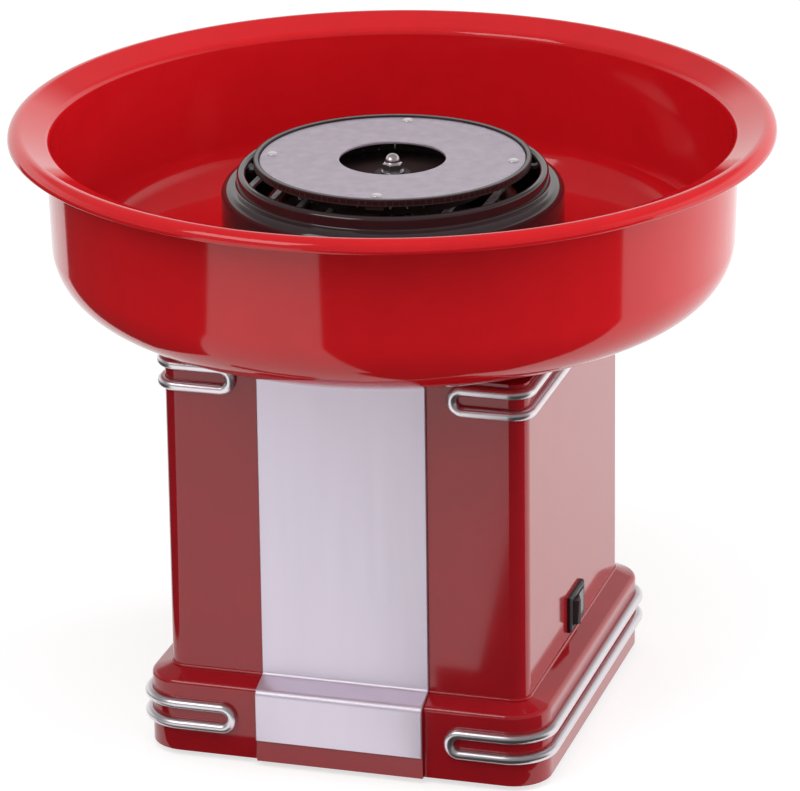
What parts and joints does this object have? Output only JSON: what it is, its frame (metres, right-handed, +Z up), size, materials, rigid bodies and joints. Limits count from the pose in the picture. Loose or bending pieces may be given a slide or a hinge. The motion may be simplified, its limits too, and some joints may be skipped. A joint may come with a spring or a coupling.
{
  "type": "cotton candy machine",
  "caption": "Tabletop cotton candy machine: a motor in a square tower spins a flat head over a ring heater, inside a wide lift-off bowl; a rocker switch is on one side.",
  "frame": {"origin": "on the spin axis at the level of the rubber feet's soles", "axes": "+Z up along the spin axis, -Y towards the front with the broad stripe, +X towards the side with the rocker switch"},
  "size_m": [0.3, 0.3, 0.2449],
  "materials": {
    "red_housing": "gloss",
    "red_bowl": "gloss",
    "black_gloss": "gloss",
    "stripe_steel": "satin",
    "chrome_wire": "polished",
    "screw_steel": "satin",
    "head_sheet": "textured satin",
    "head_black": "satin black",
    "sheet_steel": "satin",
    "heater_tube": "matte, heat-tinted",
    "ceramic": "matte",
    "copper": "satin",
    "bronze": "satin",
    "dark_iron": "dull",
    "black_plastic": "matte",
    "rubber": "matte",
    "board_green": "matte",
    "wire_cover": "matte"
  },
  "bodies": {
    "housing": {"base_plinth": "red_housing", "tower_housing": "red_housing", "top_deck": "red_housing", "front_stripe": "stripe_steel", "stripe_push_nuts": "screw_steel", "base_loop_left": "chrome_wire", "base_loop_right": "chrome_wire", "tower_loop_left": "chrome_wire", "tower_loop_right": "chrome_wire", "loop_push_nuts": "screw_steel", "bottom_plate": "black_plastic", "rubber_feet": "rubber", "base_screws": "screw_steel", "tower_screws": "screw_steel", "deck_screws": "screw_steel", "cord_gland": "rubber", "switch_housing": "black_plastic", "switch_terminals": "copper", "head_guard": "black_gloss", "guard_screws": "screw_steel", "heater_pan": "head_black", "heater_grille": "sheet_steel", "heater_ring": "heater_tube", "heater_insulators": "ceramic", "pan_pillars": "screw_steel", "pillar_nuts": "screw_steel", "bearing_housing": "sheet_steel", "bearing_screws": "screw_steel", "upper_bush": "bronze", "motor_bracket": "sheet_steel", "bracket_grommets": "rubber", "bracket_bolts": "screw_steel", "bracket_nuts": "screw_steel", "motor_front_cap": "sheet_steel", "motor_rear_cap": "sheet_steel", "motor_can": "sheet_steel", "motor_bushes": "bronze", "motor_screws": "screw_steel", "motor_magnets": "dark_iron", "motor_brushes": "dark_iron", "terminal_block": "ceramic", "rectifier_board": "board_green", "board_posts": "black_plastic", "lead_wires": "wire_cover"},
    "rotor": {"motor_shaft": "screw_steel", "armature_core": "dark_iron", "armature_coils": "copper", "commutator": "copper", "thrust_washers": "bronze", "cooling_fan": "black_plastic", "drive_collar": "sheet_steel", "collar_set_screw": "screw_steel", "head_cup": "head_black", "head_plate": "head_sheet", "head_rivets": "screw_steel", "hub_washer": "screw_steel", "acorn_nut": "chrome_wire"},
    "rocker": {"switch_rocker": "black_gloss"},
    "bowl": {"bowl": "red_bowl"}
  },
  "joints": [
    {"name": "head_spin", "type": "hinge", "parent": "housing", "child": "rotor", "pos_m": [0, 0, 0], "axis": [0, 0, 1], "continuous": true},
    {"name": "switch_rock", "type": "hinge", "parent": "housing", "child": "rocker", "pos_m": [0.0716, 0, 0.046], "axis": [0, 0, -1], "range_deg": [0, 20]},
    {"name": "bowl_lift", "type": "slide", "parent": "housing", "child": "bowl", "axis": [0, 0, 1], "range_m": [0, 0.08]}
  ]
}
